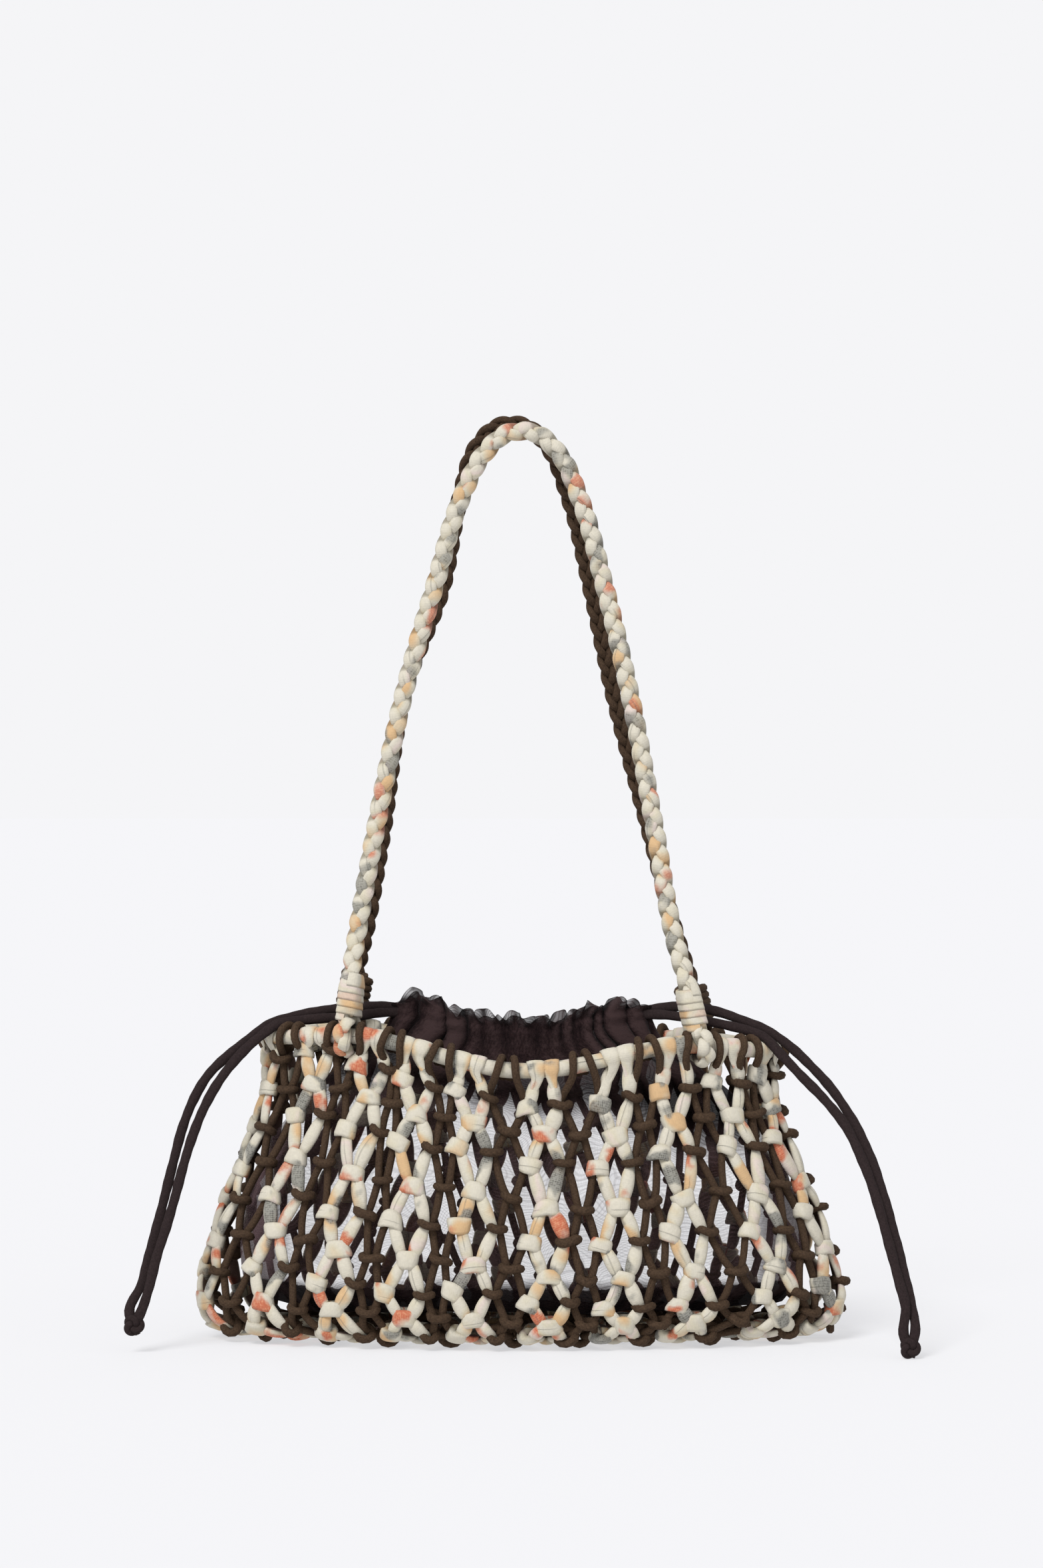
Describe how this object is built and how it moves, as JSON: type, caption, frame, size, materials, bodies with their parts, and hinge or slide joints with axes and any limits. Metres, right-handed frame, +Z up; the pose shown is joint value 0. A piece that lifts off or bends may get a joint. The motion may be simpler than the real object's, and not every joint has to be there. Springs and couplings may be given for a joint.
{
  "type": "knotted net bag",
  "caption": "Knotted net bag of pale printed and dark cords on a hooped rim, with braided arched straps and a sheer drawstring lining pouch.",
  "frame": {"origin": "middle of the base, on the floor", "axes": "+Z up, -Y towards the front with the pale strap, +X to the right seen from the front"},
  "size_m": [0.3837, 0.1324, 0.461],
  "materials": {
    "pale_cord": "matt printed cotton",
    "dark_cord": "matt cotton cord",
    "sheer_cloth": "sheer matt voile"
  },
  "bodies": {
    "root": {"rim_hoop": "pale_cord", "net_body": "pale_cord", "strap_front": "pale_cord", "strap_back": "dark_cord", "binding_front_left": "pale_cord", "binding_front_right": "pale_cord", "binding_back_left": "dark_cord", "binding_back_right": "dark_cord", "lining_pouch": "sheer_cloth", "drawstring_left_upper": "sheer_cloth", "drawstring_left_lower": "sheer_cloth", "drawstring_right_upper": "sheer_cloth", "drawstring_right_lower": "sheer_cloth", "drawstring_knot_left": "sheer_cloth", "drawstring_knot_right": "sheer_cloth"}
  },
  "joints": []
}
